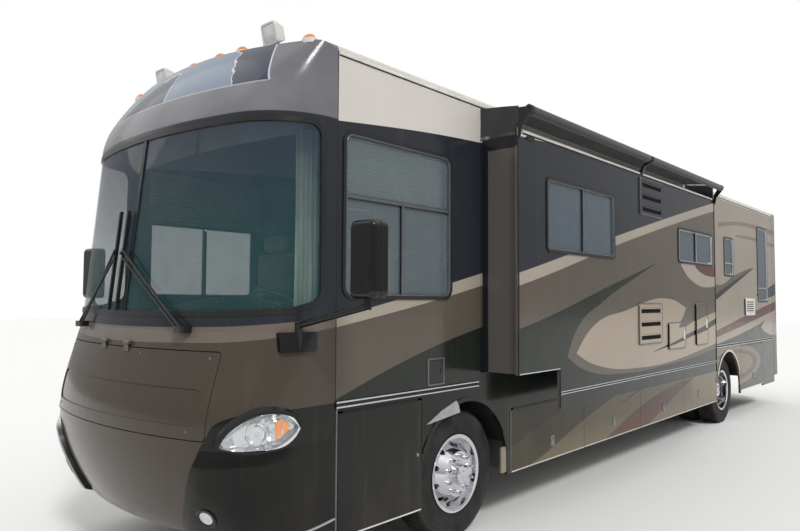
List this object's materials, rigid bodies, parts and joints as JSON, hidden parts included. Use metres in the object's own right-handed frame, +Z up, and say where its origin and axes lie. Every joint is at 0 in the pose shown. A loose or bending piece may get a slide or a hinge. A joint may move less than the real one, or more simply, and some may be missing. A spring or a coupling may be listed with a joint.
{
  "type": "motorhome",
  "caption": "Rear-engined class A motorhome with a slide-out room, wrap-round windshield, hinged baggage doors, steered front wheels and twin rear wheels.",
  "frame": {"origin": "on the ground, in the middle of the vehicle's width across the mirrors and of its length", "axes": "+Z up, -Y out of the front of the vehicle, +X out of the driver's side"},
  "size_m": [3.72, 12.45, 3.8302],
  "materials": {
    "coach_paint": "gloss coat over moulded and sheet skins",
    "dark_paint": "near-black gloss coat",
    "glass": "tinted, clear",
    "lamp_glass": "clear lens",
    "amber_lens": "moulded lens",
    "red_lens": "moulded lens",
    "frame_black": "satin black",
    "chassis_steel": "satin black chassis paint",
    "engine_iron": "cast and painted",
    "bay_lining": "moulded lining",
    "cabin_floor": "laminated floor",
    "roof_white": "roof membrane",
    "dash_vinyl": "grained moulding",
    "seat_leather": "stitched leather",
    "lining_wood": "satin veneer",
    "mirror_black": "gloss black shell",
    "polished_rim": "polished",
    "tyre": "black rubber",
    "awning_cloth": "coated woven cloth"
  },
  "bodies": {
    "coach": {"chassis_frame": "chassis_steel", "axles": "chassis_steel", "engine_block": "engine_iron", "basement": "bay_lining", "floor_panel": "cabin_floor", "left_wall": "coach_paint", "right_wall": "coach_paint", "roof_panel": "roof_white", "front_cap": "coach_paint", "rear_cap": "coach_paint", "lower_skirts": "dark_paint", "arch_liners": "frame_black", "coach_glass": "glass", "window_frames": "frame_black", "dashboard": "dash_vinyl", "front_seats": "seat_leather", "cabin_partition": "lining_wood", "entry_steps": "bay_lining", "mirrors": "mirror_black", "wipers": "frame_black", "head_lamps": "lamp_glass", "marker_lamps": "amber_lens", "tail_lamps": "red_lens", "roof_units": "roof_white", "topper_fabric": "awning_cloth", "tow_receiver": "chassis_steel", "docking_lights": "polished_rim"},
    "slide_out": {"slide_room": "coach_paint", "slide_frames": "frame_black", "slide_glass": "glass", "slide_vents": "coach_paint", "topper_roller": "frame_black"},
    "knuckle_left": {"knuckle_left": "chassis_steel"},
    "knuckle_right": {"knuckle_right": "chassis_steel"},
    "front_wheel_left": {"front_rim_left": "polished_rim", "front_tyre_left": "tyre"},
    "front_wheel_right": {"front_rim_right": "polished_rim", "front_tyre_right": "tyre"},
    "rear_wheels_left": {"rear_rims_left": "polished_rim", "rear_tyres_left": "tyre"},
    "rear_wheels_right": {"rear_rims_right": "polished_rim", "rear_tyres_right": "tyre"},
    "steering_wheel": {"steering_wheel": "dash_vinyl"},
    "entry_door": {"entry_door": "coach_paint", "entry_door_glass": "glass"},
    "nose_hatch": {"nose_hatch": "coach_paint"},
    "engine_door": {"engine_door": "coach_paint"},
    "left_front_door": {"left_front_door": "dark_paint"},
    "left_bay_door_1": {"left_bay_door_1": "dark_paint"},
    "left_bay_door_2": {"left_bay_door_2": "dark_paint"},
    "left_bay_door_3": {"left_bay_door_3": "dark_paint"},
    "left_bay_door_4": {"left_bay_door_4": "dark_paint"},
    "left_rear_door": {"left_rear_door": "dark_paint"},
    "right_front_door": {"right_front_door": "dark_paint"},
    "right_bay_door_1": {"right_bay_door_1": "dark_paint"},
    "right_bay_door_2": {"right_bay_door_2": "dark_paint"},
    "right_bay_door_3": {"right_bay_door_3": "dark_paint"},
    "right_rear_door": {"right_rear_door": "dark_paint"}
  },
  "joints": [
    {"name": "slide_run", "type": "slide", "parent": "coach", "child": "slide_out", "axis": [1, 0, 0], "range_m": [-0.335, 0], "deforming": ["topper_fabric"]},
    {"name": "steer_left", "type": "hinge", "parent": "coach", "child": "knuckle_left", "pos_m": [0.95, -3.885, 0.5], "axis": [0, 0, 1], "range_deg": [-40, 40]},
    {"name": "steer_right", "type": "hinge", "parent": "coach", "child": "knuckle_right", "pos_m": [-0.95, -3.885, 0.5], "axis": [0, 0, 1], "range_deg": [-40, 40]},
    {"name": "steering_column", "type": "hinge", "parent": "coach", "child": "steering_wheel", "pos_m": [0.62, -5.215, 1.83], "axis": [0, 0.5, 0.866], "range_deg": [-560, 560]},
    {"name": "front_spin_left", "type": "hinge", "parent": "knuckle_left", "child": "front_wheel_left", "pos_m": [1.05, -3.885, 0.5], "axis": [1, 0, 0], "continuous": true},
    {"name": "front_spin_right", "type": "hinge", "parent": "knuckle_right", "child": "front_wheel_right", "pos_m": [-1.05, -3.885, 0.5], "axis": [1, 0, 0], "continuous": true},
    {"name": "rear_spin_left", "type": "hinge", "parent": "coach", "child": "rear_wheels_left", "pos_m": [0.88, 3.005, 0.5], "axis": [1, 0, 0], "continuous": true},
    {"name": "rear_spin_right", "type": "hinge", "parent": "coach", "child": "rear_wheels_right", "pos_m": [-0.88, 3.005, 0.5], "axis": [1, 0, 0], "continuous": true},
    {"name": "entry_swing", "type": "hinge", "parent": "coach", "child": "entry_door", "pos_m": [-1.2853, -3.112, 1.7], "axis": [0, 0, 1], "range_deg": [0, 95]},
    {"name": "nose_lift", "type": "hinge", "parent": "coach", "child": "nose_hatch", "pos_m": [0, -6.131, 1.575], "axis": [-1, 0, 0], "range_deg": [0, 80]},
    {"name": "engine_lift", "type": "hinge", "parent": "coach", "child": "engine_door", "pos_m": [0, 6.22, 1.76], "axis": [1, 0, 0], "range_deg": [0, 80]},
    {"name": "left_front_door_lift", "type": "hinge", "parent": "coach", "child": "left_front_door", "pos_m": [1.275, -4.86, 1.16], "axis": [0, -1, 0], "range_deg": [0, 85]},
    {"name": "left_bay_door_1_lift", "type": "hinge", "parent": "coach", "child": "left_bay_door_1", "pos_m": [1.275, -2.5565, 0.946], "axis": [0, -1, 0], "range_deg": [0, 85]},
    {"name": "left_bay_door_2_lift", "type": "hinge", "parent": "coach", "child": "left_bay_door_2", "pos_m": [1.275, -1.155, 0.946], "axis": [0, -1, 0], "range_deg": [0, 85]},
    {"name": "left_bay_door_3_lift", "type": "hinge", "parent": "coach", "child": "left_bay_door_3", "pos_m": [1.275, 0.305, 0.946], "axis": [0, -1, 0], "range_deg": [0, 85]},
    {"name": "left_bay_door_4_lift", "type": "hinge", "parent": "coach", "child": "left_bay_door_4", "pos_m": [1.275, 1.7215, 0.946], "axis": [0, -1, 0], "range_deg": [0, 85]},
    {"name": "left_rear_door_lift", "type": "hinge", "parent": "coach", "child": "left_rear_door", "pos_m": [1.275, 4.345, 1.16], "axis": [0, -1, 0], "range_deg": [0, 85]},
    {"name": "right_front_door_lift", "type": "hinge", "parent": "coach", "child": "right_front_door", "pos_m": [-1.275, -4.86, 1.16], "axis": [0, 1, 0], "range_deg": [0, 85]},
    {"name": "right_bay_door_1_lift", "type": "hinge", "parent": "coach", "child": "right_bay_door_1", "pos_m": [-1.275, -1.4965, 0.946], "axis": [0, 1, 0], "range_deg": [0, 85]},
    {"name": "right_bay_door_2_lift", "type": "hinge", "parent": "coach", "child": "right_bay_door_2", "pos_m": [-1.275, 0.035, 0.946], "axis": [0, 1, 0], "range_deg": [0, 85]},
    {"name": "right_bay_door_3_lift", "type": "hinge", "parent": "coach", "child": "right_bay_door_3", "pos_m": [-1.275, 1.6065, 0.946], "axis": [0, 1, 0], "range_deg": [0, 85]},
    {"name": "right_rear_door_lift", "type": "hinge", "parent": "coach", "child": "right_rear_door", "pos_m": [-1.275, 4.345, 1.16], "axis": [0, 1, 0], "range_deg": [0, 85]}
  ],
  "couplings": [
    {"joint": "steer_right", "follows": "steer_left", "ratio": 1},
    {"joint": "steering_column", "follows": "steer_left", "ratio": 14}
  ]
}
